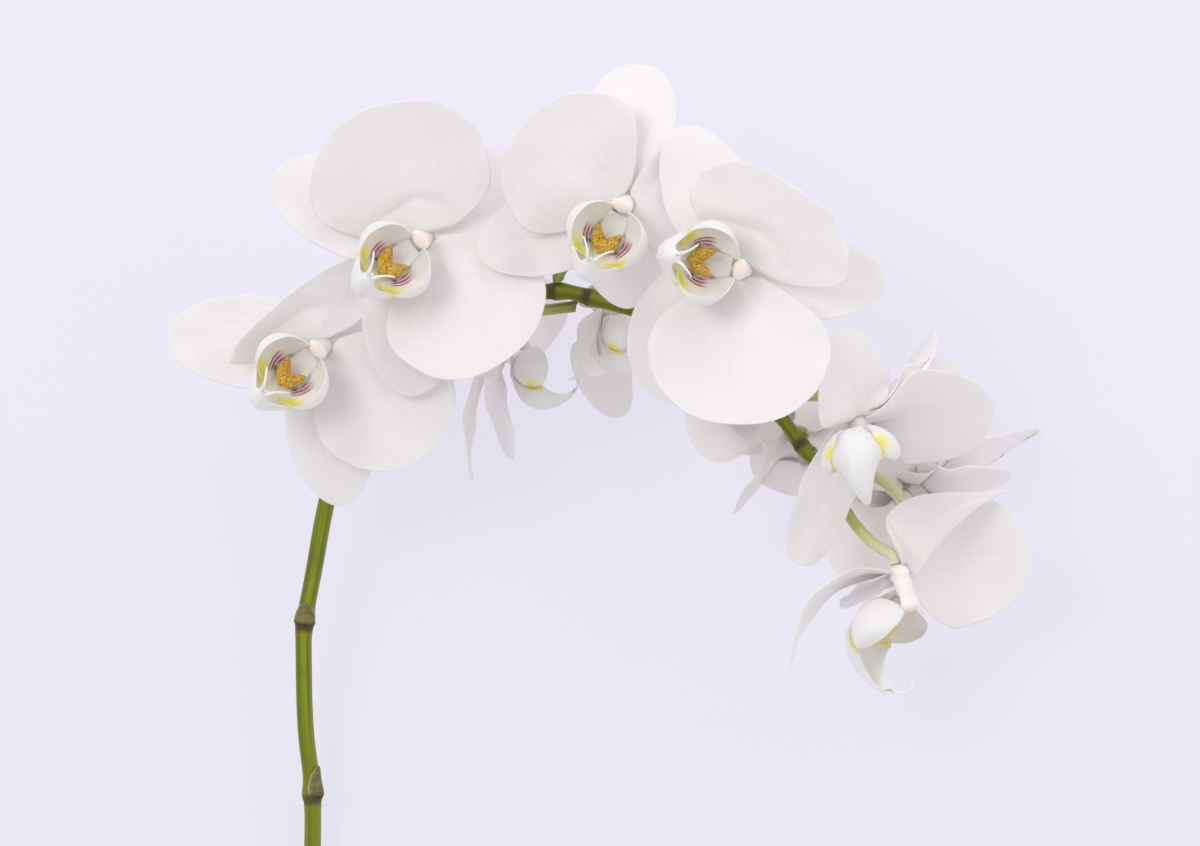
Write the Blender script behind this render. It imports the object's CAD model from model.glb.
"""The looks of a cut moth orchid stem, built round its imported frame.

Every frame node is replaced by a finer piece of the same form, from the same named values. Lengths are in
millimetres until a mesh is written, and textures use metres or the flat coordinates of each blade.
"""

import math
from collections import namedtuple

import bpy
import numpy as np
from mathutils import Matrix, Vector


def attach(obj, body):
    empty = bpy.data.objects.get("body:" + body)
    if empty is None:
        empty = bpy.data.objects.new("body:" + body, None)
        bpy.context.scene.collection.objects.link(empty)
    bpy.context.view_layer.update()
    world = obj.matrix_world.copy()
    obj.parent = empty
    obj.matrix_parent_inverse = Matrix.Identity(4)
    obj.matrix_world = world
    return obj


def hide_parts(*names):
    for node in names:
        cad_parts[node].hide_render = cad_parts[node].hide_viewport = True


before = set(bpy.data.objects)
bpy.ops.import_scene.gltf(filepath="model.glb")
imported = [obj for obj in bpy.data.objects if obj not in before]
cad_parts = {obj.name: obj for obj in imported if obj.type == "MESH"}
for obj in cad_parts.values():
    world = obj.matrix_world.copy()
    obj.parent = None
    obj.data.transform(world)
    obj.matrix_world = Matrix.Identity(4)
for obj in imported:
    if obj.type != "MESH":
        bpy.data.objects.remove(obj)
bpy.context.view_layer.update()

MM = 0.001
PLACE = (-0.9, 52.5, 0.0)  # brings the middle of the whole outline over the origin
GAP = 0.35  # clearance between pieces that grow from one another
UP = (0.0, 0.0, 1.0)
TWO_PI = 2 * math.pi

# The camera looks straight down. Metres, and millimetres for its sensor.
PHOTO_VIEW = 0.396  # width of the view at the height of the blooms
PHOTO_CENTRE = (-0.0009, 0.0525)
BLOOM_HEIGHT = 0.06
CAMERA_HEIGHT = 10.0  # far away, so that near and far blooms keep one scale
SENSOR = 36.0

# Flower stem: points of its centre line from the cut end to the last joint, and its radius at each.
STEM_LINE = [
    (-99, -223, 2.59, 2.8), (-98, -200, 3.1, 2.8), (-97, -179, 4.4, 2.85),
    (-95.6, -150, 7.2, 2.8), (-95.4, -123, 10.8, 2.75), (-97.6, -101, 14, 2.7),
    (-98.2, -78, 17.2, 2.7), (-97.8, -65.7, 19, 2.7), (-94.7, -48.5, 21.4, 2.75),
    (-90.4, -25.7, 24.6, 2.8), (-84.2, -5.6, 27.4, 2.7), (-75.2, 12.5, 30.2, 2.6),
    (-62.7, 25.7, 33.6, 2.5), (-47.9, 35, 38, 2.4), (-33, 41, 42.2, 2.4),
    (-14.2, 43.6, 45.6, 2.4), (-3, 41.4, 46.8, 2.35), (3, 39.6, 47.2, 2.35),
    (16.5, 35.6, 47.6, 2.3), (33, 28.6, 47.4, 2.3), (47.9, 17.5, 46.8, 2.25),
    (58, 4.6, 46, 2.25), (67, -7.9, 45, 2.2), (73.3, -15.4, 44.2, 2.15),
    (79.2, -25.3, 43.4, 2.1),
]
STEM_SIDES = 28
STEM_PITCH = 1.3  # distance between its rings
STEM_SHARE = 0.01  # flat coordinate along it for each millimetre
JOINT_SWELL = 0.75  # how far a joint of the stem stands out
JOINT_REACH = 3.4  # half the length of that swelling
JOINT_SCAR = 0.28  # depth of the scar ring under a joint
SCAR_DROP, SCAR_REACH = 2.4, 0.7  # how far below the joint it lies, and half its length
BROWN_DROP, BROWN_REACH = 1.6, 2.2  # the same for the brown skin
END_ROUNDING = 0.35  # the cut end's softened edge

# Bracts on bare joints: a point on the stem, the angle round it from the +X side, length and width.
BARE_JOINTS = [
    ((-97, -179, 4.4), 150, 9, 8),
    ((-95.4, -123, 10.8), 35, 10.5, 9),
    ((-97.8, -65.7, 19), 95, 7.5, 9),
]
STALK_BRACT = (4.6, 5.6)  # length and width of the bract under a flower stalk
BRACT_CLEAR = 2.9  # from a stalk's middle to the tip of its bract
BRACT_LIFT = 0.1  # middle of a bract's thickness above the stem's skin
BRACT_FLARE = 0.5  # how far its tip stands off
BRACT_DROP = 1.0  # from a bare joint down to the base of its bract
BRACT_CLAW = 1.5  # half width of its base
BRACT_WOBBLE = 0.02  # unevenness of its margin, as a share of its width
BRACT_GRID = (22, 16)  # rows and columns of its faces

# A tepal's tip is measured from the hub. Its face is the way its broad side looks, the bloom's own way if
# none is given. Arch lifts its middle, cup its margins, and a pressed tepal lies flat where it meets Z = 0.
# A free tepal passes below the lip, turns to its own face at once and goes straight to its tip. Sway bends
# the midrib sideways by that much, and wave is the height of one more wave across the tepal.
Outline = namedtuple("Outline", "widest base_curve tip_curve")
Tepal = namedtuple(
    "Tepal", "tip width face arch cup wave pressed free sway outline",
    defaults=(None, 0.0, 0.04, 0.0, False, False, 0.0, None),
)
TEPALS = ["dorsal", "petal_left", "petal_right", "side_left", "side_right"]
Bloom = namedtuple(
    "Bloom", ["hub", "facing", "lip", "stalk", *TEPALS, "fine", "lip_size", "bract", "tendrils"],
    defaults=(True, 1.0, False, True),
)
HIDDEN = {"fine": False, "lip_size": 0.75, "tendrils": False}  # a bloom that others hide

SEPAL_CLAW, PETAL_CLAW = 2.0, 1.9  # half width of their feet
CLAW_START = 2.3  # distance of a claw's end from the hub's middle, inside the receptacle
SEPAL_SET = -1.3  # how far behind the hub's middle the sepals start
PETAL_SET = 0.75  # how far in front of it the petals start
SET_GROWTH = 0.6  # share by which sepals and petals part further towards their tips
TWIST_END = 0.45  # share of a tepal's length over which it turns to its own face
FREE_TWIST = 0.12  # the same for a free one
CUP_START = 0.4  # share of a tepal's cup that is there at its foot
SWAY_PEAK = 0.62  # brings the middle of a sideways bend nearer the hub
LIP_ROOM = (1.8, 13.5, 12.0, 1.6)  # depth and reach kept free for the lip, more reach on its side, slope
LIP_ROOM_BEND = 0.6  # softness of the bend at the edge of that room

BLOOMS = [
    Bloom(
        hub=(-91.7, 25, 50), facing=(-0.16, -0.08, 1), lip=(-0.755, -0.656, 0), lip_size=1.06,
        stalk=[(-75.2, 12.5, 30.2), (-78, 17, 35), (-84.5, 22, 38.5)],
        dorsal=Tepal((24, 18, -17), 27),
        petal_left=Tepal((-10, 18, 11), 59, face=(0.12, -0.08, 0.98), outline=Outline(0.66, 1.7, 0.62)),
        petal_right=Tepal((37.5, -32, -2), 50, cup=0.05, sway=-1),
        side_left=Tepal((-51.8, 3.6, 0), 30),
        side_right=Tepal((5.5, -52.5, -13), 29),
    ),
    Bloom(
        hub=(-58.4, 60.4, 64), facing=(-0.08, 0, 1), lip=(-0.775, -0.63, 0), lip_size=1.06,
        stalk=[(-47.9, 35, 38), (-49.5, 42, 42.5), (-54.5, 54, 50.5)],
        dorsal=Tepal((34, 26, -14), 31),
        petal_left=Tepal((-10, 45, 18), 60, arch=0.03, sway=-3.5, outline=Outline(0.42, 1.5, 0.72)),
        petal_right=Tepal((27, -40, 7), 56, cup=0.05),
        side_left=Tepal((-49.8, 21.5, -3), 31),
        side_right=Tepal((-5, -51.5, -6), 32, sway=1.5),
    ),
    Bloom(
        hub=(8.3, 72, 77), facing=(-0.1, -0.05, 1), lip=(-0.447, -0.894, 0), lip_size=1.06,
        stalk=[(-14.2, 43.6, 45.6), (-13, 50, 49), (-2, 65, 58)],
        dorsal=Tepal((4.5, 46, -5), 29, sway=-1.5, outline=Outline(0.62, 1.5, 0.8)),
        petal_left=Tepal((-34, 25.5, 12), 52),
        petal_right=Tepal((37, 2, -20), 38),
        side_left=Tepal((-48.5, -16.5, -2.5), 28),
        side_right=Tepal((0, -34, -20), 26),
    ),
    Bloom(
        hub=(46.9, 50.5, 86), facing=(-0.1, 0, 1), lip=(-0.977, 0.21, 0), lip_size=1.06,
        stalk=[(33, 28.6, 47.4), (34, 33, 53.5), (42.5, 46, 69)],
        dorsal=Tepal((46.9, -5, -10), 27),
        petal_left=Tepal((14.5, 29, 16), 58, arch=0.05, wave=0.6, sway=3, outline=Outline(0.5, 1.7, 0.7)),
        petal_right=Tepal((-2, -51, 5), 60, cup=0.05),
        side_left=Tepal((-21.5, 46.9, -4), 29),
        side_right=Tepal((-30, -41, -15), 35, sway=4.5, outline=Outline(0.58, 1.7, 0.8)),
    ),
    Bloom(
        hub=(84.8, 1.7, 66), facing=(0.2, -0.97, 0.06), lip=(-0.14, -0.05, 0.98),
        stalk=[(58, 4.6, 46), (65, 8.5, 48.5), (74, 9, 53.5)], bract=True,
        dorsal=Tepal((26, 26, -18), 16, face=(0.6, -0.6, -0.4)),
        petal_left=Tepal((-6, 30, 16.5), 31, face=(0.6, -0.2, 0.65)),
        petal_right=Tepal((44, -1, -6), 46, face=(0.1, -0.75, 0.65)),
        side_left=Tepal(
            (-18.5, -50.5, -10), 20, face=(0.4, -0.3, 0.85), free=True, outline=Outline(0.62, 1.5, 0.75)
        ),
        side_right=Tepal((34, 14, -24), 25, face=(0.1, -0.5, 0.8)),
        tendrils=False,
    ),
    Bloom(
        hub=(99, -50.2, 50), facing=(0.33, -0.93, 0.18), lip=(-0.72, -0.36, -0.58),
        stalk=[(79.2, -25.3, 43.4), (84, -33, 44.5), (90, -39.5, 47)],
        dorsal=Tepal(
            (40, 27, -6), 20, face=(0.1, -0.2, 0.95), sway=-9, free=True, outline=Outline(0.14, 0.8, 4.5)
        ),
        petal_left=Tepal((-36.6, -31.4, 6), 25, face=(0.62, -0.74, 0.2), arch=-0.18),
        petal_right=Tepal(
            (42.5, 8, -12), 46, face=(0.1, -0.3, 1), arch=-0.26, free=True, sway=1.5,
            outline=Outline(0.52, 3, 0.8),
        ),
        side_left=Tepal((-17, -13, -17), 19),
        side_right=Tepal((9, -24, -18), 22, face=(1, 0, 0)),
        lip_size=1.15,
    ),
    Bloom(
        hub=(-32, 25.7, 33), facing=(0.94, -0.02, -0.1), lip=(0, -0.98, 0.1),
        stalk=[(-3, 41.4, 46.8), (-9, 38.5, 43.5), (-22, 37, 39.5), (-35, 36.5, 37), (-42, 31.5, 35.5)],
        dorsal=Tepal((-13, 34, -41), 28, face=(0.9, 0.2, 0.2), pressed=True),
        petal_left=Tepal((-14, -5, 17), 16),
        petal_right=Tepal((20, 15, -41), 27, face=(0.7, 0.1, 0.6), pressed=True),
        side_left=Tepal((-8.5, -44.7, 8), 20, face=(1, -0.2, 0.2), arch=-0.16),
        side_right=Tepal((4, -37.5, -18), 24, face=(0.9, 0.1, -0.35), sway=-3),
        fine=False, lip_size=0.82,
    ),
    Bloom(
        hub=(1, 38.6, 28), facing=(0.93, -0.3, 0.1), lip=(-0.3, -0.93, 0.1),
        stalk=[(16.5, 35.6, 47.6), (13, 43, 43), (2, 46, 36)],
        dorsal=Tepal((2, 16, -35), 26, pressed=True),
        petal_left=Tepal((-4.6, -22.8, 14), 14, face=(0.3, -0.2, 0.9)),
        petal_right=Tepal((5, -36, -24), 18.5, face=(0.1, -0.2, 0.9), sway=1.5),
        side_left=Tepal((13, -12, -24), 23),
        side_right=Tepal((19, 3, -15), 20),
        **HIDDEN,
    ),
    Bloom(
        hub=(42, 20, 33), facing=(-0.1, -0.15, -0.98), lip=(0.2, 0.98, 0),
        stalk=[(47.9, 17.5, 46.8), (45.5, 20, 42)],
        dorsal=Tepal((-3, -33.5, 0), 25),
        petal_left=Tepal((-20, 16, -8), 32),
        petal_right=Tepal((24, 10, -6), 34),
        side_left=Tepal((15.8, -25.6, 0), 22),
        side_right=Tepal((-5, 38, -46), 28, face=(0, 0.4, -0.9), pressed=True),
        **HIDDEN,
    ),
    Bloom(
        hub=(64.4, -4, 25), facing=(0, -0.25, -0.95), lip=(0.9, 0.4, 0),
        stalk=[(67, -7.9, 45), (67, -3, 40)],
        dorsal=Tepal((-19.8, -26.7, -2), 24, face=(-0.8, 0.6, -0.15)),
        petal_left=Tepal((-3, -21, -14), 26),
        petal_right=Tepal((20, -8, -13), 26),
        side_left=Tepal((-25, 8, -12), 24),
        side_right=Tepal((8, 24, -12), 24),
        **HIDDEN,
    ),
    Bloom(
        hub=(100.7, -25.4, 31), facing=(0.1, 0.05, -0.95), lip=(-0.1, 0.99, 0),
        stalk=[(73.3, -15.4, 44.2), (80, -12.5, 42), (94, -19.5, 40)], bract=True,
        dorsal=Tepal((44.6, 21.8, -45), 28, face=(0, 0.7, -0.7), pressed=True),
        petal_left=Tepal((17.1, 14.5, -4), 28, face=(-0.65, 0.76, -0.1)),
        petal_right=Tepal((33.7, 6, -8), 36, face=(0.1, 0.9, -0.4)),
        side_left=Tepal((-22, -24, -10), 30),
        side_right=Tepal((-16, 22, -10), 26),
        **HIDDEN,
    ),
]

# Outlines: widest point as a share of the length, then how the margin curves below and above it.
SEPAL_OUTLINE = Outline(0.50, 1.7, 1.05)
PETAL_OUTLINE = Outline(0.50, 2.2, 0.85)
SIDE_LOBE_OUTLINE = Outline(0.55, 0.75, 0.75)
BRACT_OUTLINE = Outline(0.15, 0.8, 1.3)

# Rows and columns of the faces of a coarse and of a fine bloom.
TEPAL_GRIDS = [(34, 20), (46, 30)]
MIDDLE_LOBE_GRIDS = [(34, 18), (48, 26)]
SIDE_LOBE_GRIDS = [(24, 18), (34, 26)]
TIP_CROWDING = 1.7  # how much closer the rows come towards a blade's tip
MARGIN_CROWDING = 0.8  # and the columns towards its margins

# Relief of a tepal: its height or depth, and its waves in radians over half the width or all the length.
RUFFLE, RUFFLE_ALONG, RUFFLE_SHIFT = 0.55, 15.0, 1.3  # of its margins, which differ by the shift
SWELL, SWELL_ACROSS, SWELL_ALONG, SWELL_PHASE = 0.35, 5.2, 4.4, 0.7
MIDRIB, MIDRIB_REACH = 0.28, 1.3  # the groove on its middle, and half its width
WAVE_ACROSS, WAVE_SHIFT = 4.0, 1.0  # of the wave that a tepal can have of its own
BLOOM_PHASE, TEPAL_PHASE = 1.7, 2.3  # how the waves shift from bloom to bloom and from tepal to tepal

# Unevenness of a blade's outline: strength, radians over its length, share of its phase.
RIPPLES = [(1.0, 13.0, 1.0), (0.6, 29.0, 2.1)]
TEPAL_WOBBLE = 0.008  # its size as a share of the width
LOBE_WOBBLE = 0.006

# Thickness in the middle of a blade and at its margin, and the share that it loses towards its tip.
TEPAL_BODY, TEPAL_RIM = 0.75, 0.34
LIP_BODY, LIP_RIM = 0.75, 0.36
BRACT_BODY, BRACT_RIM = 0.7, 0.25
TIP_THINNING = 0.6

# Column and receptacle: distance along the bloom's facing, and radius.
RECEPTACLE = [(-3.4, 1.5), (-2.9, 2.3), (-2, 3), (-0.6, 3.4), (0.4, 3.4), (1.6, 2.9)]
COLUMN = [(2.8, 2.8), (4.6, 2.8), (6.4, 3), (8.2, 3.4), (9.6, 3.4), (10.6, 2.6), (11.1, 1.1)]
COLUMN_FLAT = 0.64  # its depth along the lip as a share of its width
FLAT_FROM = 3.2  # distance from the hub at which the flattening starts
FLAT_REACH = 5.0  # distance over which it grows to that share
BLUSH_FROM, BLUSH_REACH = 9.6, 1.5  # the same for the blush of the anther cap
COLUMN_RINGS, COLUMN_SIDES = 34, 28
COLUMN_TIP = 0.2  # least radius
COLUMN_SHARE = 0.1  # flat coordinate along it for each millimetre
STIGMA = (6.9, 1.6, 0.34)  # its hollow on the lip's side: distance, half length, share of the radius

# Lip: its keel runs out along the lip's direction and forward along the bloom's facing.
KEEL = [
    (3.2, 3.4), (8, 3.6), (13, 4), (18, 5.6), (23, 9),
    (25.6, 15), (24.6, 21.5), (21.2, 27), (17, 29.6),
]
KEEL_HALF_WIDTH = [2.8, 4.8, 5.2, 6.4, 9, 8, 5.2, 2.8, 1.1]
KEEL_CUP = [0, 0.5, 1.1, 2.6, 6.6, 8.4, 6, 2.4, 0.4]
KEEL_RINGS = 90  # points on its line
KEEL_RIDGE = 0.7  # height of the ridge along the middle of the keel
RIDGE_HALF_WIDTH = 0.9
SIDE_LOBE_MIDDLE = (9.8, 13.6)  # along the lip, forward
SIDE_LOBE_RADII = (13, 9.6, 10.4, 6)  # across, along the lip, backward, forward
SIDE_LOBE_SWEEP = (-72, 34)  # from its base up to its tip, in degrees round the cup
SIDE_LOBE_SPREAD = 60.0  # the same across half its width
SIDE_LOBE_SIZE = (20, 8.6, 4.4)  # length, half width, half width of its base
LIP_INSIDE = (0, 12, 16)  # a point within the cup of the lip
TENDRIL = [(0.7, 18.6, 28.7), (2.2, 15.4, 30.6), (4.2, 13, 30.6), (5.2, 12.4, 28.6), (4.4, 13.2, 27.2)]
TENDRIL_RADII = [0.7, 0.42, 0.3, 0.22, 0.14]
PRONG = [(1, 15.8, 7), (1.9, 13.2, 7.6), (3.1, 10.6, 9.2), (4.1, 8.2, 11.2)]
PRONG_RADII = [1.3, 2.1, 1.6, 0.5]
SADDLE = [(0, 17, 6.9), (0, 14.6, 7.5), (0, 11.6, 8.6)]  # the callus between its prongs
SADDLE_RADII = [0.7, 1.9, 1.2]
TENDRIL_MESH, PRONG_MESH, SADDLE_MESH = (10, 40), (20, 36), (20, 24)  # sides and rings
TUBE_ROUNDING = 0.06  # share of a tube's length over which its end is rounded
TUBE_END = 0.08  # square of the radius that is left there, as a share
PRONG_LIFT = 0.75  # the coarser lips need the prongs further forward, small ones most
PRONG_LIFT_GROWTH = 3.0

STALK_RADIUS = 1.9
STALK_SIDES = 24
STALK_PITCH = 0.7  # distance between its rings
STALK_RINGS = 12  # their least number
STALK_RIBS = 6
STALK_RIB_DEPTH = 0.045  # share of the radius
STALK_RIB_TURNS = 0.35
STALK_WAIST = 0.96  # least radius as a share
STALK_FOOT, STALK_FOOT_REACH = 0.06, 0.08  # what the foot adds, over that share of the length
STALK_WIDENING = 0.03  # what the bloom's end adds
END_ON = 0.9  # a stalk in line with the stem starts at its end, not at its skin
STALK_STRAIGHT = 7.0  # distance behind the hub over which the stalk meets it straight

# Floor: the tint of its own light, and its colours at the foot and at the head of the photograph.
FLOOR_LAVENDER = (0.83, 0.815, 0.91)
FLOOR_LOW, FLOOR_HIGH = (0.185, 0.181, 0.206), (0.215, 0.211, 0.240)
FLOOR_FADE = (-0.15, 0.30)  # where one starts to turn into the other and where it ends, in metres
FLOOR_GLOW = 0.78  # strength of its own light, which keeps shadows on it faint
FLOOR_HALF = 9.0  # half the length of its side, in metres

SURROUND = 0.60  # strength of the even light from all sides
# Lights: name, strength, apparent size in radians, the way towards it.
LIGHTS = [
    ("key", 0.90, 0.45, (-0.55, 0.35, 0.85)),
    ("top", 0.70, 1.1, (0.45, 1.0, 0.65)),
    ("right", 0.32, 1.0, (0.95, -0.2, 0.5)),
]

GLOW = 0.6  # share of the light that passes into a blade
GLOW_REACH = 0.0025  # and how far it travels there, in metres
VEINS = 13  # across a petal
STRIPES = [(0.075, 0.026), (0.13, 0.030), (0.185, 0.024)]  # place along the side lobe, half width
STRIPES_MIDDLE = 0.62  # the stripes' middle as a share across the lobe

CURVE_STEPS = 24  # between two given points of a curve
SLOPE_STEP = 0.05  # over which a blade's slope is taken


def unit(vector):
    vector = np.asarray(vector, float)
    return vector / np.linalg.norm(vector, axis=-1, keepdims=True)


def lengths_along(line):
    """Distance of each point of a line from its start."""
    return np.concatenate([[0.0], np.cumsum(np.linalg.norm(np.diff(line[:, :3], axis=0), axis=1))])


def sampled(line, reach, wanted):
    """A line and its further columns at the wanted distances from its start."""
    return np.stack([np.interp(wanted, reach, column) for column in line.T], axis=-1)


def curve_through(points):
    """Close points, with any further columns, on a Catmull-Rom curve through the given ones."""
    points = np.asarray(points, float)
    padded = np.vstack([2 * points[0] - points[1], points, 2 * points[-1] - points[-2]])
    dense = []
    for i in range(len(points) - 1):
        a, b, c, d = padded[i : i + 4]
        for t in np.arange(CURVE_STEPS) / CURVE_STEPS:
            square = (2 * a - 5 * b + 4 * c - d) * t**2
            cube = (3 * b - a - 3 * c + d) * t**3
            dense.append(0.5 * (2 * b + (c - a) * t + square + cube))
    return np.array(dense + [points[-1]])


def even_curve(points, count):
    """Evenly spaced points on the curve through the given ones."""
    dense = curve_through(points)
    reach = lengths_along(dense)
    return sampled(dense, reach, np.linspace(0.0, reach[-1], count))


def hump(distance, reach):
    """1 in its middle, and softly down to 0 on both sides of it."""
    return np.exp(-((distance / reach) ** 2))


def placed(name, data):
    """A new object of the scene with the given data."""
    made = bpy.data.objects.new(name, data)
    bpy.context.scene.collection.objects.link(made)
    return made


class Shape:
    """Vertices and faces with flat coordinates, gathered part by part into one mesh."""

    def __init__(self):
        self.verts, self.faces, self.flat, self.slots, self.masks = [], [], [], [], []
        self.size = 0

    def add(self, verts, faces, flat, slot=0, mask=None):
        self.verts.append(np.asarray(verts, float))
        self.faces += [tuple(int(i) + self.size for i in face) for face in faces]
        self.flat += flat
        self.slots += [slot] * len(faces)
        self.masks.append(np.zeros(len(verts)) if mask is None else np.asarray(mask, float))
        self.size += len(verts)

    def piece(self, name, node, finishes):
        """Makes the object that stands for the frame's node."""
        mesh = bpy.data.meshes.new(name)
        verts = (np.vstack(self.verts) + PLACE) * MM
        mesh.from_pydata(verts.tolist(), [], self.faces)
        for finish in finishes:
            mesh.materials.append(finish)
        mesh.polygons.foreach_set("material_index", self.slots)
        mesh.uv_layers.new(name="flat").data.foreach_set("uv", np.array(self.flat, float).ravel())
        mask = mesh.attributes.new("mask", "FLOAT", "POINT")
        mask.data.foreach_set("value", np.concatenate(self.masks))
        mesh.shade_smooth()
        made = placed(name, mesh)
        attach(made, "root")
        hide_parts(node)


def add_blade(shape, surface, grid, body, margin, slot=0, pointed=False, inside=None, hand=1):
    """Adds both faces and the rim of a surface, and marks the face that looks at a point inside.

    The grid gives x, y, the share across from -1 to 1, and the share of the length.
    """
    x, y, across, share = grid
    middle = surface(x, y)
    rightward = surface(x + SLOPE_STEP, y) - surface(x - SLOPE_STEP, y)
    outward = surface(x, y + SLOPE_STEP) - surface(x, y - SLOPE_STEP)
    normal = unit(np.cross(rightward, outward))
    rows, columns = x.shape[0] - 1, x.shape[1] - 1
    index = np.arange((rows + 1) * (columns + 1)).reshape(rows + 1, columns + 1)
    if pointed:
        index[rows] = index[rows, 0]
    size = int(index[rows].max()) + 1
    half = thickness_over(across, share, body, margin)[..., None] / 2
    upper = (middle + normal * half).reshape(-1, 3)[:size]
    lower = (middle - normal * half).reshape(-1, 3)[:size]
    place = np.stack([across * hand * 0.5 + 0.5, share], axis=-1)
    faces, flat = [], []
    for r in range(rows):
        for c in range(columns):
            around = [(r, c), (r, c + 1), (r + 1, c + 1), (r + 1, c)]
            if pointed and r == rows - 1:
                around.pop()
            corners = [index[at] for at in around]
            coordinates = [tuple(place[at]) for at in around]
            faces += [corners, [corner + size for corner in reversed(corners)]]
            flat += coordinates + coordinates[::-1]
    rim = [(0, c) for c in range(columns + 1)] + [(r, columns) for r in range(1, rows + 1)]
    rim += [(rows, c) for c in range(columns - 1, -1, -1)] + [(r, 0) for r in range(rows - 1, 0, -1)]
    for p, q in zip(rim, rim[1:] + rim[:1]):
        if index[p] != index[q]:
            faces.append([index[q], index[p], index[p] + size, index[q] + size])
            flat += [tuple(place[at]) for at in (q, p, p, q)]
    mask = None
    if inside is not None:
        inner = (np.sum(normal * (inside - middle), axis=-1) > 0).reshape(-1)[:size]
        mask = np.concatenate([inner, ~inner])
    shape.add(np.vstack([upper, lower]), faces, flat, slot, mask)


def half_width(outline, share, half, claw):
    """Half the width of a blade at a share of its length."""
    share = np.clip(share, 0.0, 1.0)
    below = share < outline.widest
    cosine = np.where(below, 1 - share / outline.widest, -(share - outline.widest) / (1 - outline.widest))
    angle = np.arccos(np.clip(cosine, -1.0, 1.0))
    curve = np.where(below, outline.base_curve, outline.tip_curve)
    return half * np.sin(angle) ** curve + claw * np.cos(angle / 2) ** 4


def blade_grid(outline, length, half, claw, grid, wobble, phase, start=0.0):
    """The grid of a blade that ends in a point."""
    rows, columns = grid
    even = np.linspace(0.0, 1.0, rows + 1)
    first = start / length
    share = first + (1 - first) * (1 - (1 - even) ** TIP_CROWDING)
    across = np.sin(np.linspace(-1.0, 1.0, columns + 1) * math.pi / 2 * MARGIN_CROWDING)
    across = across / math.sin(math.pi / 2 * MARGIN_CROWDING)
    width = half_width(outline, share, half, claw)
    ripple = sum(strength * np.sin(share * waves + part * phase) for strength, waves, part in RIPPLES)
    width = width * (1 + wobble * ripple)
    across, share = np.meshgrid(across, share)
    x = across * width[:, None]
    x[-1] = 0.0
    return x, share * length, across, share


def frame_of(bloom):
    """Unit vectors of a bloom: its facing, the direction of its lip and the one across both."""
    facing = unit(bloom.facing)
    lip = unit(np.asarray(bloom.lip) - facing * np.dot(bloom.lip, facing))
    return facing, lip, np.cross(facing, lip)


def clear_of_lip(offset, facing, lip, size):
    """Holds a tepal back where it would run into the lip, with a soft bend."""
    depth, reach, more, slope = LIP_ROOM
    forward = np.sum(offset * facing, axis=-1, keepdims=True)
    flat = offset - forward * facing
    distance = np.linalg.norm(flat, axis=-1, keepdims=True)
    toward = np.sum(flat * lip, axis=-1, keepdims=True) / np.maximum(distance, 0.1)
    room = reach + more * np.maximum(toward, 0.0) ** 2
    limit = depth * size + slope * np.maximum(distance - room * size, 0.0)
    excess = forward - limit
    return offset - facing * 0.5 * (excess + np.sqrt(excess**2 + LIP_ROOM_BEND))


def tepal_surface(bloom, tepal, set_back, phase):
    """The middle surface of a sepal or petal, as a function of its own flat coordinates.

    It leaves the hub square to the bloom's facing, and leans and turns to its own face on the way out.
    """
    facing, lip, _ = frame_of(bloom)
    hub, tip = np.asarray(bloom.hub), np.asarray(tepal.tip)
    length = float(np.linalg.norm(tip))
    lean = 0.0 if tepal.free else float(np.dot(tip, facing))
    own = facing if tepal.face is None else unit(tepal.face)
    half = tepal.width / 2

    def surface(x, y):
        q = np.clip(y / length, 0.0, 1.2)[..., None]  # past 1 for the slope at the tip
        inner = np.clip(q, 0.0, 1.0)
        x = x[..., None]
        along = unit(tip + facing * lean * (2 * q - 1))
        turn = np.clip(q / (FREE_TWIST if tepal.free else TWIST_END), 0.0, 1.0)
        turn = turn * turn * (3 - 2 * turn)
        face = facing * (1 - turn) + own * turn
        face = unit(face - along * np.sum(face * along, axis=-1, keepdims=True))
        cup = tepal.cup * x * x / half * (CUP_START + (1 - CUP_START) * q)
        lift = tepal.arch * length * 4 * q * (1 - q) + cup
        lift = lift + tepal.wave * np.sin(x / half * WAVE_ACROSS + WAVE_SHIFT) * q * q
        edge = np.clip(np.abs(x) / half, 0.0, 1.0) ** 3
        lift = lift + RUFFLE * edge * np.sin(q * RUFFLE_ALONG + phase + np.sign(x) * RUFFLE_SHIFT)
        lift = lift - MIDRIB * hump(x, MIDRIB_REACH) * np.sin(inner * math.pi)
        over, down = x / half * SWELL_ACROSS + phase, q * SWELL_ALONG + SWELL_PHASE * phase
        lift = lift + SWELL * np.sin(over) * np.sin(down) * q
        offset = tip * q + facing * (lean * (q * q - q) + set_back * (1 + SET_GROWTH * q))
        sideways = x + tepal.sway * np.sin(inner**SWAY_PEAK * math.pi)
        offset = offset + sideways * np.cross(along, face) + lift * face
        point = hub + (offset if tepal.free else clear_of_lip(offset, facing, lip, bloom.lip_size))
        if tepal.pressed:
            point[..., 2] = np.maximum(point[..., 2], TEPAL_BODY / 2)
        return point

    return surface, length, half


def thickness_over(across, share, body, margin):
    """Thickness of a blade that thins out towards its margins and its tip."""
    return margin + (body - margin) * (1 - np.abs(across) ** 3) * (1 - TIP_THINNING * share**4)


def add_tepal(shape, bloom, name, tepal, phase):
    petal = name.startswith("petal")
    surface, length, half = tepal_surface(bloom, tepal, PETAL_SET if petal else SEPAL_SET, phase)
    outline, claw = (PETAL_OUTLINE, PETAL_CLAW) if petal else (SEPAL_OUTLINE, SEPAL_CLAW)
    outline, grid = tepal.outline or outline, TEPAL_GRIDS[bloom.fine]
    grid = blade_grid(outline, length, half, claw, grid, TEPAL_WOBBLE, phase, CLAW_START)
    add_blade(shape, surface, grid, TEPAL_BODY, TEPAL_RIM, pointed=True)


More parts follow.
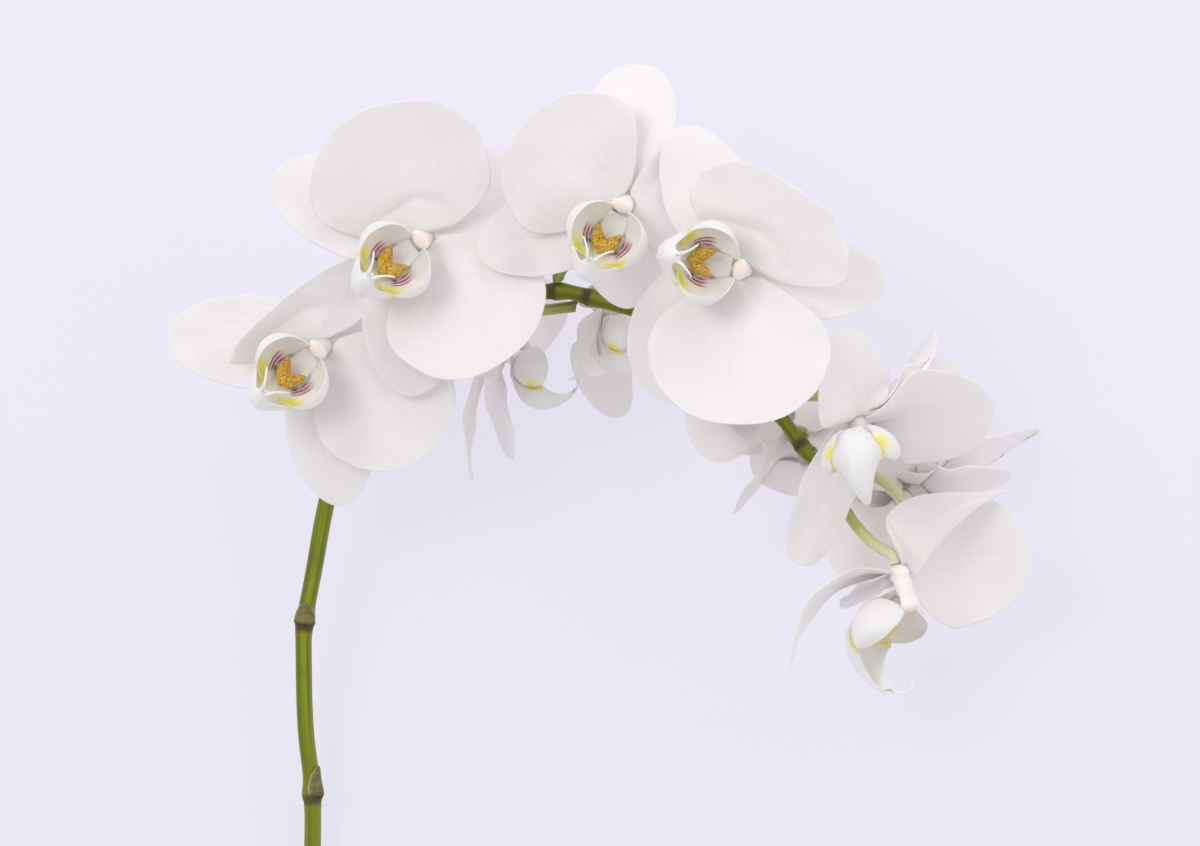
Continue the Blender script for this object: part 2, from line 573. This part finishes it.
def ring_grid(line, radii, sides):
    """Rings of points round a line, and the direction of each point from the line."""
    line = np.asarray(line, float)
    ahead = unit(np.gradient(line, axis=0))
    across = np.cross(UP, ahead[0])
    if np.linalg.norm(across) < 0.1:
        across = np.cross((1.0, 0.0, 0.0), ahead[0])
    firsts, seconds = [], []
    for direction in ahead:
        across = unit(across - direction * np.dot(across, direction))
        firsts.append(across)
        seconds.append(np.cross(direction, across))
    angles = TWO_PI * np.arange(sides) / sides
    spokes = np.cos(angles)[None, :, None] * np.array(firsts)[:, None]
    spokes = spokes + np.sin(angles)[None, :, None] * np.array(seconds)[:, None]
    return line[:, None] + spokes * np.broadcast_to(radii, (sides, len(line))).T[..., None], spokes


def add_rings(shape, rings, flat_along, slot=0, mask=None, cap_slot=None):
    """Adds a closed skin over rings of points, with a fan over each end."""
    count, sides = rings.shape[:2]
    faces, flat = [], []
    for r in range(count - 1):
        for k in range(sides):
            a, b = r * sides + k, r * sides + (k + 1) % sides
            faces.append((a, b, b + sides, a + sides))
            low, high = flat_along[r], flat_along[r + 1]
            left, right = k / sides, (k + 1) / sides
            flat += [(left, low), (right, low), (right, high), (left, high)]
    verts = np.vstack([rings.reshape(-1, 3), rings[0].mean(0), rings[-1].mean(0)])
    mask = np.zeros(count) if mask is None else mask
    masks = np.concatenate([np.repeat(mask, sides), [mask[0], mask[-1]]])
    low, high = count * sides, count * sides + 1
    for k in range(sides):
        faces.append((low, (k + 1) % sides, k))
        faces.append((high, (count - 1) * sides + k, (count - 1) * sides + (k + 1) % sides))
        left, right = k / sides, (k + 1) / sides
        flat += [(left, 0.0), (right, 1.0), (left, 1.0), (left, 0.0), (left, 1.0), (right, 1.0)]
    shape.add(verts, faces, flat, slot, masks)
    if cap_slot is not None:
        shape.slots[-2 * sides :] = [cap_slot] * (2 * sides)


def add_column(shape, bloom):
    """The receptacle and the column: one turned body, flatter towards its end, with the stigma's hollow."""
    facing, lip, _ = frame_of(bloom)
    size = bloom.lip_size
    profile = RECEPTACLE + [(distance * size, radius * size) for distance, radius in COLUMN]
    profile = even_curve(np.array(profile), COLUMN_RINGS)
    line = np.asarray(bloom.hub) + profile[:, :1] * facing
    rings, spokes = ring_grid(line, np.maximum(profile[:, 1], COLUMN_TIP), COLUMN_SIDES)
    offset = rings - np.asarray(bloom.hub)
    flat = np.clip((offset @ facing - FLAT_FROM) / FLAT_REACH, 0.0, 1.0)[..., None]
    rings = rings - flat * (1 - COLUMN_FLAT) * (offset @ lip)[..., None] * lip
    toward = np.maximum(spokes @ lip, 0.0) ** 2
    middle, reach, share = STIGMA
    hollow = share * toward * hump(profile[:, 0] / size - middle, reach)[:, None]
    rings = rings - spokes * (profile[:, 1][:, None] * hollow)[..., None]
    blush = np.clip((profile[:, 0] / size - BLUSH_FROM) / BLUSH_REACH, 0.0, 1.0)
    add_rings(shape, rings, profile[:, 0] * COLUMN_SHARE, slot=1, mask=blush)


def in_bloom(bloom, across, along, forward):
    """A point of a bloom from its distances across, along the lip and forward."""
    facing, lip, side = frame_of(bloom)
    across, along, forward = np.broadcast_arrays(across, along, forward)
    offset = across[..., None] * side + along[..., None] * lip + forward[..., None] * facing
    return np.asarray(bloom.hub) + bloom.lip_size * offset


def add_middle_lobe(shape, bloom):
    """The middle lobe: a trough that runs out from the column's foot, turns forward and hooks back."""
    keel = np.column_stack([KEEL, np.zeros(len(KEEL)), KEEL_HALF_WIDTH, KEEL_CUP])
    dense = even_curve(keel, KEEL_RINGS)
    reach = lengths_along(dense)
    slope = unit(np.gradient(dense[:, :2], axis=0))

    def surface(x, y):
        out, forward, _, half, cup = np.moveaxis(sampled(dense, reach, y), -1, 0)
        ahead = sampled(slope, reach, y)
        share = np.clip(y / reach[-1], 0.0, 1.0)
        ridge = KEEL_RIDGE * hump(x, RIDGE_HALF_WIDTH) * np.sin(share * math.pi)
        rise = cup * (x / np.maximum(half, 0.1)) ** 2 + ridge
        return in_bloom(bloom, x, out - ahead[..., 1] * rise, forward + ahead[..., 0] * rise)

    rows, columns = MIDDLE_LOBE_GRIDS[bloom.fine]
    across, share = np.meshgrid(np.linspace(-1.0, 1.0, columns + 1), np.linspace(0.0, 1.0, rows + 1))
    y = share * reach[-1]
    x = across * np.interp(y, reach, dense[:, 3])
    inside = in_bloom(bloom, *LIP_INSIDE)
    add_blade(shape, surface, (x, y, across, share), LIP_BODY, LIP_RIM, inside=inside)


def add_side_lobe(shape, bloom, hand):
    """One erect side lobe: a rounded blade wrapped on an egg-shaped cup round the column."""
    across_radius, along_radius, back, front = SIDE_LOBE_RADII
    length, half, base = SIDE_LOBE_SIZE
    first, last = SIDE_LOBE_SWEEP

    def surface(x, y):
        turn = np.radians(first + (last - first) * y / length)
        spread = np.radians(SIDE_LOBE_SPREAD) * x / half * hand
        depth = np.where(np.sin(turn) < 0, back, front)
        return in_bloom(
            bloom,
            hand * across_radius * np.cos(spread) * np.cos(turn),
            SIDE_LOBE_MIDDLE[0] + along_radius * np.sin(spread),
            SIDE_LOBE_MIDDLE[1] + depth * np.cos(spread) * np.sin(turn),
        )

    grid = SIDE_LOBE_GRIDS[bloom.fine]
    grid = blade_grid(SIDE_LOBE_OUTLINE, length, half, base, grid, LOBE_WOBBLE, hand)
    inside = in_bloom(bloom, *LIP_INSIDE)
    add_blade(shape, surface, grid, LIP_BODY, LIP_RIM, slot=1, pointed=True, inside=inside, hand=hand)


def add_lip_tube(shape, bloom, line, radii, hand, mesh, masked=True):
    """A smooth tube that tapers along a line of the lip, with a mask that rises along it if it has one."""
    sides, count = mesh
    dense = even_curve(np.column_stack([line, radii]), count)
    centre = in_bloom(bloom, hand * dense[:, 0], dense[:, 1], dense[:, 2])
    ends = np.linspace(0.0, 1.0, count)
    inward = (1 - np.minimum(ends, 1 - ends) / TUBE_ROUNDING).clip(0.0)
    rounding = np.sqrt(np.clip(1 - inward**2, TUBE_END, 1.0))
    rings, _ = ring_grid(centre, dense[:, 3] * bloom.lip_size * rounding, sides)
    add_rings(shape, rings, ends, mask=ends if masked else None)


class Value:
    """A number or colour that varies over a surface, with the usual signs for sums, products and powers."""

    def __init__(self, finish, socket):
        self.finish, self.socket = finish, socket

    def sign(operation):
        return lambda self, *others: self.finish.math(operation, self, *others)

    __add__, __sub__, __mul__ = sign("ADD"), sign("SUBTRACT"), sign("MULTIPLY")
    __pow__, __abs__ = sign("POWER"), sign("ABSOLUTE")

    def smooth(self, low, high):
        """Rises softly from 0 at low to 1 at high, or falls if low is above high."""
        inputs = {"Value": self, "From Min": low, "From Max": high}
        return self.finish.node("MapRange", 0, inputs, interpolation_type="SMOOTHSTEP")

    def bell(self, middle, width):
        """1 at the middle, and 0 further than the width from it."""
        return abs(self - middle).smooth(width, 0.0)

    def off_middle(self):
        """0 on the middle of a blade and 1 at its margins."""
        return abs(self - 0.5) * 2.0


class Finish:
    """A node material with short ways to write its values. Glow tints the light that passes into it."""

    def __init__(self, name, roughness, specular=0.5, glow=None, **constants):
        self.material = bpy.data.materials.new(name)
        self.material.use_nodes = True
        self.tree = self.material.node_tree
        self.shader = self.tree.nodes["Principled BSDF"]
        constants.update(Roughness=roughness, Specular_IOR_Level=specular)
        if glow:
            constants.update(Subsurface_Weight=GLOW, Subsurface_Scale=GLOW_REACH, Subsurface_Radius=glow)
        for socket, value in constants.items():
            self.shader.inputs[socket.replace("_", " ")].default_value = value

    def put(self, socket, value):
        if isinstance(value, Value):
            self.tree.links.new(value.socket, socket)
        elif isinstance(value, tuple):
            socket.default_value = (*value, 1.0)[: len(socket.default_value)]
        else:
            socket.default_value = value

    def node(self, kind, output, inputs=None, **settings):
        """One output of a new node with the given inputs and settings."""
        made = self.tree.nodes.new("ShaderNode" + kind)
        for setting, value in settings.items():
            setattr(made, setting, value)
        for socket, value in (inputs or {}).items():
            self.put(made.inputs[socket], value)
        return Value(self, made.outputs[output])

    def math(self, operation, *values):
        return self.node("Math", 0, dict(enumerate(values)), operation=operation)

    def place(self):
        return self.node("TexCoord", "Object")

    def axis(self, vector, number):
        return self.node("SeparateXYZ", number, {0: vector})

    def flat(self):
        """Share across and share along of the blade."""
        source = self.node("UVMap", 0, uv_map="flat")
        return self.axis(source, 0), self.axis(source, 1)

    def mask(self):
        return self.node("Attribute", "Fac", attribute_name="mask")

    def noise(self, size, detail=2.0, vector=None):
        """Soft noise with features of about the given size in metres."""
        inputs = {"Scale": 1 / size, "Detail": detail, "Vector": vector or self.place()}
        return self.node("TexNoise", "Fac", inputs)

    def drift(self, size, strength, detail=2.0):
        """Noise on both sides of zero, to shift a pattern by."""
        return (self.noise(size, detail) - 0.5) * strength

    def cells(self, size):
        """Distance from the nearest of scattered points that lie about the given size apart."""
        return self.node("TexVoronoi", "Distance", {"Scale": 1 / size, "Vector": self.place()})

    def bump(self, height, depth, strength):
        """Relief with the given depth in metres."""
        inputs = {"Strength": strength, "Distance": depth, "Height": height}
        self.put(self.shader.inputs["Normal"], self.node("Bump", 0, inputs))

    def layered(self, colour, *layers):
        """A colour with others over it, each by its share."""
        for share, tint in layers:
            colour = self.node("Mix", 2, {0: share, 6: colour, 7: tint}, data_type="RGBA")
        return colour

    def painted(self, colour, *layers):
        """The material in its finished colour."""
        self.put(self.shader.inputs["Base Color"], self.layered(colour, *layers))
        return self.material


def veins(finish):
    """Fine ridges that fan out from the claw, close to the lines of equal share across."""
    across, along = finish.flat()
    wave = finish.math("SINE", (across + finish.drift(0.009, 0.10, 1.0)) * (TWO_PI * VEINS))
    fade = along.smooth(0.02, 0.3) * along.smooth(1.02, 0.75)
    return ((wave + 1.0) * 0.5) ** 3.0 * fade


def petal_finish():
    """White, warmer in places, with faint veins, a greenish claw and a brighter margin."""
    finish = Finish("petal_white", 0.5, 0.3, (1.0, 0.93, 0.9), Sheen_Weight=0.1, Sheen_Roughness=0.4)
    across, along = finish.flat()
    broad = finish.noise(0.016)
    ridges = veins(finish)
    finish.bump(ridges * 0.3 + finish.noise(0.0005) * 0.3 + broad, 0.00016, 0.7)
    return finish.painted(
        (0.925, 0.872, 0.862),
        (broad.smooth(0.42, 0.72), (0.905, 0.852, 0.838)),
        (ridges * 0.10, (0.82, 0.76, 0.75)),
        (along.smooth(0.17, 0.03) * 0.4, (0.90, 0.89, 0.74)),
        (across.off_middle().smooth(0.88, 1.0) * 0.35, (0.96, 0.925, 0.92)),
    )


def column_finish():
    """White, with a faint peach blush on the anther cap at its end."""
    finish = Finish("column_peach", 0.45, 0.35, (1.0, 0.8, 0.7))
    tip = finish.mask()
    finish.bump(finish.noise(0.0006), 0.00008, 0.6)
    return finish.painted(
        (0.93, 0.90, 0.875),
        (tip.smooth(0.0, 0.5), (0.94, 0.885, 0.83)),
        (tip.smooth(0.35, 1.0) * 0.75, (0.93, 0.75, 0.66)),
    )


def lip_finish(name):
    """The lip's finish and its white, to which the lobes add their own colours."""
    finish = Finish(name, 0.42, 0.35, (1.0, 0.9, 0.8))
    finish.bump(finish.noise(0.0006), 0.00010, 0.6)
    broad = finish.noise(0.008).smooth(0.4, 0.75)
    return finish, finish.layered((0.93, 0.905, 0.895), (broad, (0.91, 0.88, 0.86)))


def middle_lobe_finish():
    """White, pale yellow in the throat and yellow along the shoulders."""
    finish, white = lip_finish("lip_middle")
    across, along = finish.flat()
    off = across.off_middle()
    along = along + finish.drift(0.004, 0.14)
    inner = finish.mask()
    throat = along.bell(0.34, 0.24) * inner
    shoulder = along.bell(0.50, 0.16) * off.smooth(0.30, 0.80)
    return finish.painted(
        white,
        (throat * 0.6, (0.86, 0.84, 0.52)),
        (shoulder * (inner * 0.8 + 0.1), (0.84, 0.80, 0.38)),
        (along.bell(0.50, 0.17) * off.smooth(0.80, 1.0), (0.90, 0.74, 0.07)),
        (off.smooth(0.14, 0.04) * 0.6, (0.94, 0.93, 0.88)),
    )


def side_lobe_finish():
    """White, with magenta stripes at the foot and a yellow patch on the margin towards the lip's tip."""
    finish, white = lip_finish("lip_side")
    across, along = finish.flat()
    wander = finish.drift(0.003, 0.10)
    patch = (across + wander).smooth(0.60, 0.86) * along.bell(0.42, 0.38)
    bent = along + (across - STRIPES_MIDDLE) ** 2.0 * 0.6
    inner = finish.mask()
    blush = bent.bell(0.13, 0.12) * across.bell(STRIPES_MIDDLE, 0.22) * inner
    ends = across.smooth(0.44, 0.60) * across.smooth(0.84, 0.76)
    stripes = [(bent + wander * 0.2).bell(*stripe) * inner * ends for stripe in STRIPES]
    return finish.painted(
        white,
        (patch, (0.92, 0.78, 0.06)),
        (blush * 0.6, (0.82, 0.48, 0.58)),
        *[(stripe * 0.95, (0.34, 0.04, 0.13)) for stripe in stripes],
    )


def callus_finish():
    """Gold with brown dots, and darker towards the tips of the prongs."""
    finish = Finish("callus_gold", 0.35)
    dots = finish.cells(0.00062).smooth(0.46, 0.28)
    finish.bump(finish.noise(0.0009) + dots, 0.00022, 0.8)
    return finish.painted(
        (0.76, 0.42, 0.03),
        (finish.noise(0.0022).smooth(0.35, 0.7), (0.84, 0.58, 0.12)),
        (finish.mask().smooth(0.35, 1.0) * 0.5, (0.50, 0.26, 0.04)),
        (dots * finish.noise(0.0016).smooth(0.30, 0.48) * 0.85, (0.22, 0.07, 0.015)),
    )


def stalk_finish():
    """Green at the stem and whitish at the bloom."""
    finish = Finish("stalk_green", 0.42, 0.45)
    along = finish.mask()
    around, _ = finish.flat()
    ribs = finish.math("SINE", around * (TWO_PI * STALK_RIBS))
    finish.bump(finish.noise(0.0006), 0.00008, 0.6)
    return finish.painted(
        (0.25, 0.28, 0.05),
        (along.smooth(0.0, 0.35), (0.50, 0.54, 0.18)),
        (along.smooth(0.35, 1.0), (0.80, 0.81, 0.58)),
        (ribs.smooth(0.2, 1.0) * 0.25, (0.66, 0.70, 0.38)),
    )


def stem_finish():
    """Mid green with darker streaks, brown at the joints and on patches of the skin."""
    finish = Finish("stem_green", 0.42, 0.3)
    around, along = finish.flat()
    streaks = finish.noise(0.12, 3.0, finish.node("CombineXYZ", 0, {0: around, 1: along * 0.12}))
    finish.bump(streaks * 0.6 + finish.noise(0.0008), 0.00012, 0.7)
    return finish.painted(
        (0.13, 0.155, 0.004),
        (streaks.smooth(0.3, 0.7), (0.26, 0.30, 0.012)),
        (finish.noise(0.012, 4.0).smooth(0.52, 0.72) * 0.4, (0.11, 0.085, 0.020)),
        (finish.mask().smooth(0.25, 0.95), (0.085, 0.070, 0.022)),
        (finish.cells(0.0011).smooth(0.16, 0.10) * 0.35, (0.24, 0.34, 0.10)),
    )


def cut_finish():
    """The cut face: pale pith in a ring of green skin."""
    finish = Finish("stem_cut", 0.55)
    _, outward = finish.flat()
    finish.bump(finish.noise(0.0005), 0.0001, 0.8)
    return finish.painted(
        (0.62, 0.64, 0.36),
        (finish.noise(0.0008), (0.46, 0.50, 0.22)),
        (finish.cells(0.0007).smooth(0.3, 0.15) * 0.5, (0.30, 0.34, 0.12)),
        (outward.smooth(0.78, 0.9), (0.12, 0.20, 0.04)),
    )


def bract_finish():
    """Green and brown, dark at its foot, with a pale dry margin."""
    finish = Finish("bract_brown", 0.5, 0.35)
    across, along = finish.flat()
    finish.bump(finish.noise(0.0007), 0.00012, 0.8)
    return finish.painted(
        (0.20, 0.20, 0.05),
        (finish.noise(0.002).smooth(0.35, 0.65), (0.15, 0.12, 0.045)),
        (across.off_middle().smooth(0.7, 1.0), (0.42, 0.35, 0.20)),
        (along.smooth(0.25, 0.0), (0.06, 0.035, 0.02)),
    )


# The stem's dense centre line with its radius, each point's distance from the cut end, and the point
# nearest to each joint.
STEM = curve_through(STEM_LINE)
STEM_REACH = lengths_along(STEM)
FEET = [foot for foot, *_ in BARE_JOINTS] + [bloom.stalk[0] for bloom in BLOOMS]
NEAREST = [np.argmin(np.linalg.norm(STEM[:, :3] - foot, axis=1)) for foot in FEET]
JOINTS = STEM_REACH[NEAREST]


def round_the_stem(place):
    """The level direction square to the stem at a place, and the one square to both."""
    forward = sampled(unit(np.gradient(STEM[:, :3], axis=0)), STEM_REACH, place)
    across = unit(np.cross(forward, UP))
    return across, unit(np.cross(across, forward))


def add_bract(shape, start, angle, length, width):
    """A small pointed bract that clasps the stem from its start upwards."""
    radii = STEM[:, 3] + sum(JOINT_SWELL * hump(STEM_REACH - joint, JOINT_REACH) for joint in JOINTS)
    line = np.column_stack([STEM[:, :3], radii])

    def surface(x, y):
        ring = sampled(line, STEM_REACH, start + y)
        across, over = round_the_stem(start + y)
        out = ring[..., 3] + BRACT_LIFT + BRACT_FLARE * (y / length) ** 2
        turn = math.radians(angle) + x / out
        away = np.cos(turn)[..., None] * across + np.sin(turn)[..., None] * over
        return ring[..., :3] + out[..., None] * away

    grid = blade_grid(BRACT_OUTLINE, length, width / 2, BRACT_CLAW, BRACT_GRID, BRACT_WOBBLE, angle)
    add_blade(shape, surface, grid, BRACT_BODY, BRACT_RIM, slot=1, pointed=True)


def make_stem(finishes):
    """The stem with its joints, a softened edge at both ends, and its bracts."""
    end = STEM_REACH[-1]
    places = np.linspace(0.0, end, round(end / STEM_PITCH))
    places = np.sort([*places, END_ROUNDING, end - END_ROUNDING])
    rings = sampled(STEM, STEM_REACH, places)
    for joint in JOINTS:
        rings[:, 3] += JOINT_SWELL * hump(places - joint, JOINT_REACH)
        rings[:, 3] -= JOINT_SCAR * hump(places - joint + SCAR_DROP, SCAR_REACH)
    rings[[0, -1], 3] -= END_ROUNDING
    points, _ = ring_grid(rings[:, :3], rings[:, 3], STEM_SIDES)
    points[..., 2] = np.maximum(points[..., 2], 0.0)
    brown = sum(hump(places - joint + BROWN_DROP, BROWN_REACH) for joint in JOINTS)
    shape = Shape()
    add_rings(shape, points, places * STEM_SHARE, mask=np.clip(brown, 0.0, 1.0), cap_slot=2)
    for (_, *bract), joint in zip(BARE_JOINTS, JOINTS):
        add_bract(shape, joint - BRACT_DROP, *bract)
    for bloom, joint in zip(BLOOMS, JOINTS[len(BARE_JOINTS) :]):
        if bloom.bract:
            across, over = round_the_stem(joint)
            away = np.array(bloom.stalk[1]) - np.array(bloom.stalk[0])
            angle = math.degrees(math.atan2(np.dot(away, over), np.dot(away, across)))
            add_bract(shape, joint - BRACT_CLEAR - STALK_BRACT[0], angle, *STALK_BRACT)
    shape.piece("stem_skin", "stem", finishes)


def make_stalk(name, bloom, nearest, finishes):
    """The flower stalk: from the skin of the stem to the back of the bloom, clear of both."""
    facing = frame_of(bloom)[0]
    first, second = np.array(bloom.stalk[0]), np.array(bloom.stalk[1])
    stem_way = unit(np.gradient(STEM[:, :3], axis=0)[nearest])
    lean = abs(float(np.dot(unit(second - first), stem_way)))
    if lean > END_ON:
        skin = 2 * GAP
    else:
        skin = (STEM[nearest, 3] + JOINT_SWELL + GAP + STALK_RADIUS * lean) / math.sqrt(1 - lean**2)
    begin = first + unit(second - first) * skin
    back = np.array(bloom.hub) - facing * STALK_STRAIGHT
    end = np.array(bloom.hub) + facing * (RECEPTACLE[0][0] - GAP)
    points = [begin, *bloom.stalk[1:], back, end]
    count = max(STALK_RINGS, round(lengths_along(curve_through(points))[-1] / STALK_PITCH))
    line = even_curve(points, count)
    along = np.linspace(0.0, 1.0, count)
    angles = TWO_PI * np.arange(STALK_SIDES) / STALK_SIDES
    turned = angles[None, :] + along[:, None] * TWO_PI * STALK_RIB_TURNS
    ribs = 1 + STALK_RIB_DEPTH * np.cos(turned * STALK_RIBS) * np.sqrt(along)[:, None]
    foot = STALK_FOOT * hump(along, STALK_FOOT_REACH)
    swelling = STALK_WAIST + foot + STALK_WIDENING * along
    radii = STALK_RADIUS * ribs * swelling[:, None]
    rings, _ = ring_grid(line, radii.T, STALK_SIDES)
    shape = Shape()
    add_rings(shape, rings, along, mask=along)
    shape.piece(name + "_skin", name, finishes)


def make_bloom(name, bloom, phase, tepal_finishes, lip_finishes, callus_finishes):
    """The three pieces of a bloom: its tepals with the column, its lip, and the callus in it."""
    shape = Shape()
    add_column(shape, bloom)
    for order, part in enumerate(TEPALS):
        add_tepal(shape, bloom, part, getattr(bloom, part), phase + TEPAL_PHASE * order)
    shape.piece(name + "_tepals", name, tepal_finishes)
    lip = Shape()
    add_middle_lobe(lip, bloom)
    for hand in (1, -1):
        add_side_lobe(lip, bloom, hand)
        if bloom.tendrils:
            add_lip_tube(lip, bloom, TENDRIL, TENDRIL_RADII, hand, TENDRIL_MESH, masked=False)
    lip.piece(name + "_labellum", name + "_lip", lip_finishes)
    lift = 0.0 if bloom.fine else PRONG_LIFT + PRONG_LIFT_GROWTH * (1 - bloom.lip_size)
    prong = [(x, y, z + lift) for x, y, z in PRONG]
    callus = Shape()
    for hand in (1, -1):
        add_lip_tube(callus, bloom, prong, PRONG_RADII, hand, PRONG_MESH)
    if bloom.fine:
        add_lip_tube(callus, bloom, SADDLE, SADDLE_RADII, 1, SADDLE_MESH)
    callus.piece(name + "_horns", name + "_callus", callus_finishes)


def make_floor():
    mesh = bpy.data.meshes.new("floor")
    corners = [(x * FLOOR_HALF, y * FLOOR_HALF, 0) for x, y in ((-1, -1), (1, -1), (1, 1), (-1, 1))]
    mesh.from_pydata(corners, [], [(0, 1, 2, 3)])
    glow = (*FLOOR_LAVENDER, 1.0)
    finish = Finish("floor_paper", 0.9, 0.1, Emission_Color=glow, Emission_Strength=FLOOR_GLOW)
    upward = finish.axis(finish.place(), 1).smooth(*FLOOR_FADE)
    mesh.materials.append(finish.painted(FLOOR_LOW, (upward, FLOOR_HIGH)))
    placed("floor", mesh)


def make_light():
    """Soft studio light: an even surround, and broad lights from the left, the top and the right."""
    for name, energy, angle, toward in LIGHTS:
        sun = bpy.data.lights.new(name, "SUN")
        sun.energy = energy
        sun.angle = angle
        placed(name, sun).rotation_euler = Vector(toward).to_track_quat("Z", "Y").to_euler()
    world = bpy.data.worlds.new("studio")
    world.use_nodes = True
    surround = world.node_tree.nodes["Background"]
    surround.inputs["Color"].default_value = (1.0, 1.0, 1.0, 1.0)
    surround.inputs["Strength"].default_value = SURROUND
    bpy.context.scene.world = world


def make_camera():
    camera = bpy.data.cameras.new("camera")
    camera.sensor_width = SENSOR
    camera.lens = SENSOR * (CAMERA_HEIGHT - BLOOM_HEIGHT) / PHOTO_VIEW
    camera.clip_start, camera.clip_end = 1.0, 2 * CAMERA_HEIGHT
    holder = placed("camera", camera)
    holder.location = (*PHOTO_CENTRE, CAMERA_HEIGHT)
    bpy.context.scene.camera = holder


def main():
    bpy.context.scene.view_settings.view_transform = "Standard"
    make_camera()
    make_light()
    make_floor()
    tepals = [petal_finish(), column_finish()]
    lip = [middle_lobe_finish(), side_lobe_finish()]
    callus = [callus_finish()]
    make_stem([stem_finish(), bract_finish(), cut_finish()])
    stalk = [stalk_finish()]
    for number, (bloom, nearest) in enumerate(zip(BLOOMS, NEAREST[len(BARE_JOINTS) :]), start=1):
        make_stalk(f"pedicel_{number:02d}", bloom, nearest, stalk)
        make_bloom(f"bloom_{number:02d}", bloom, BLOOM_PHASE * number, tepals, lip, callus)


main()
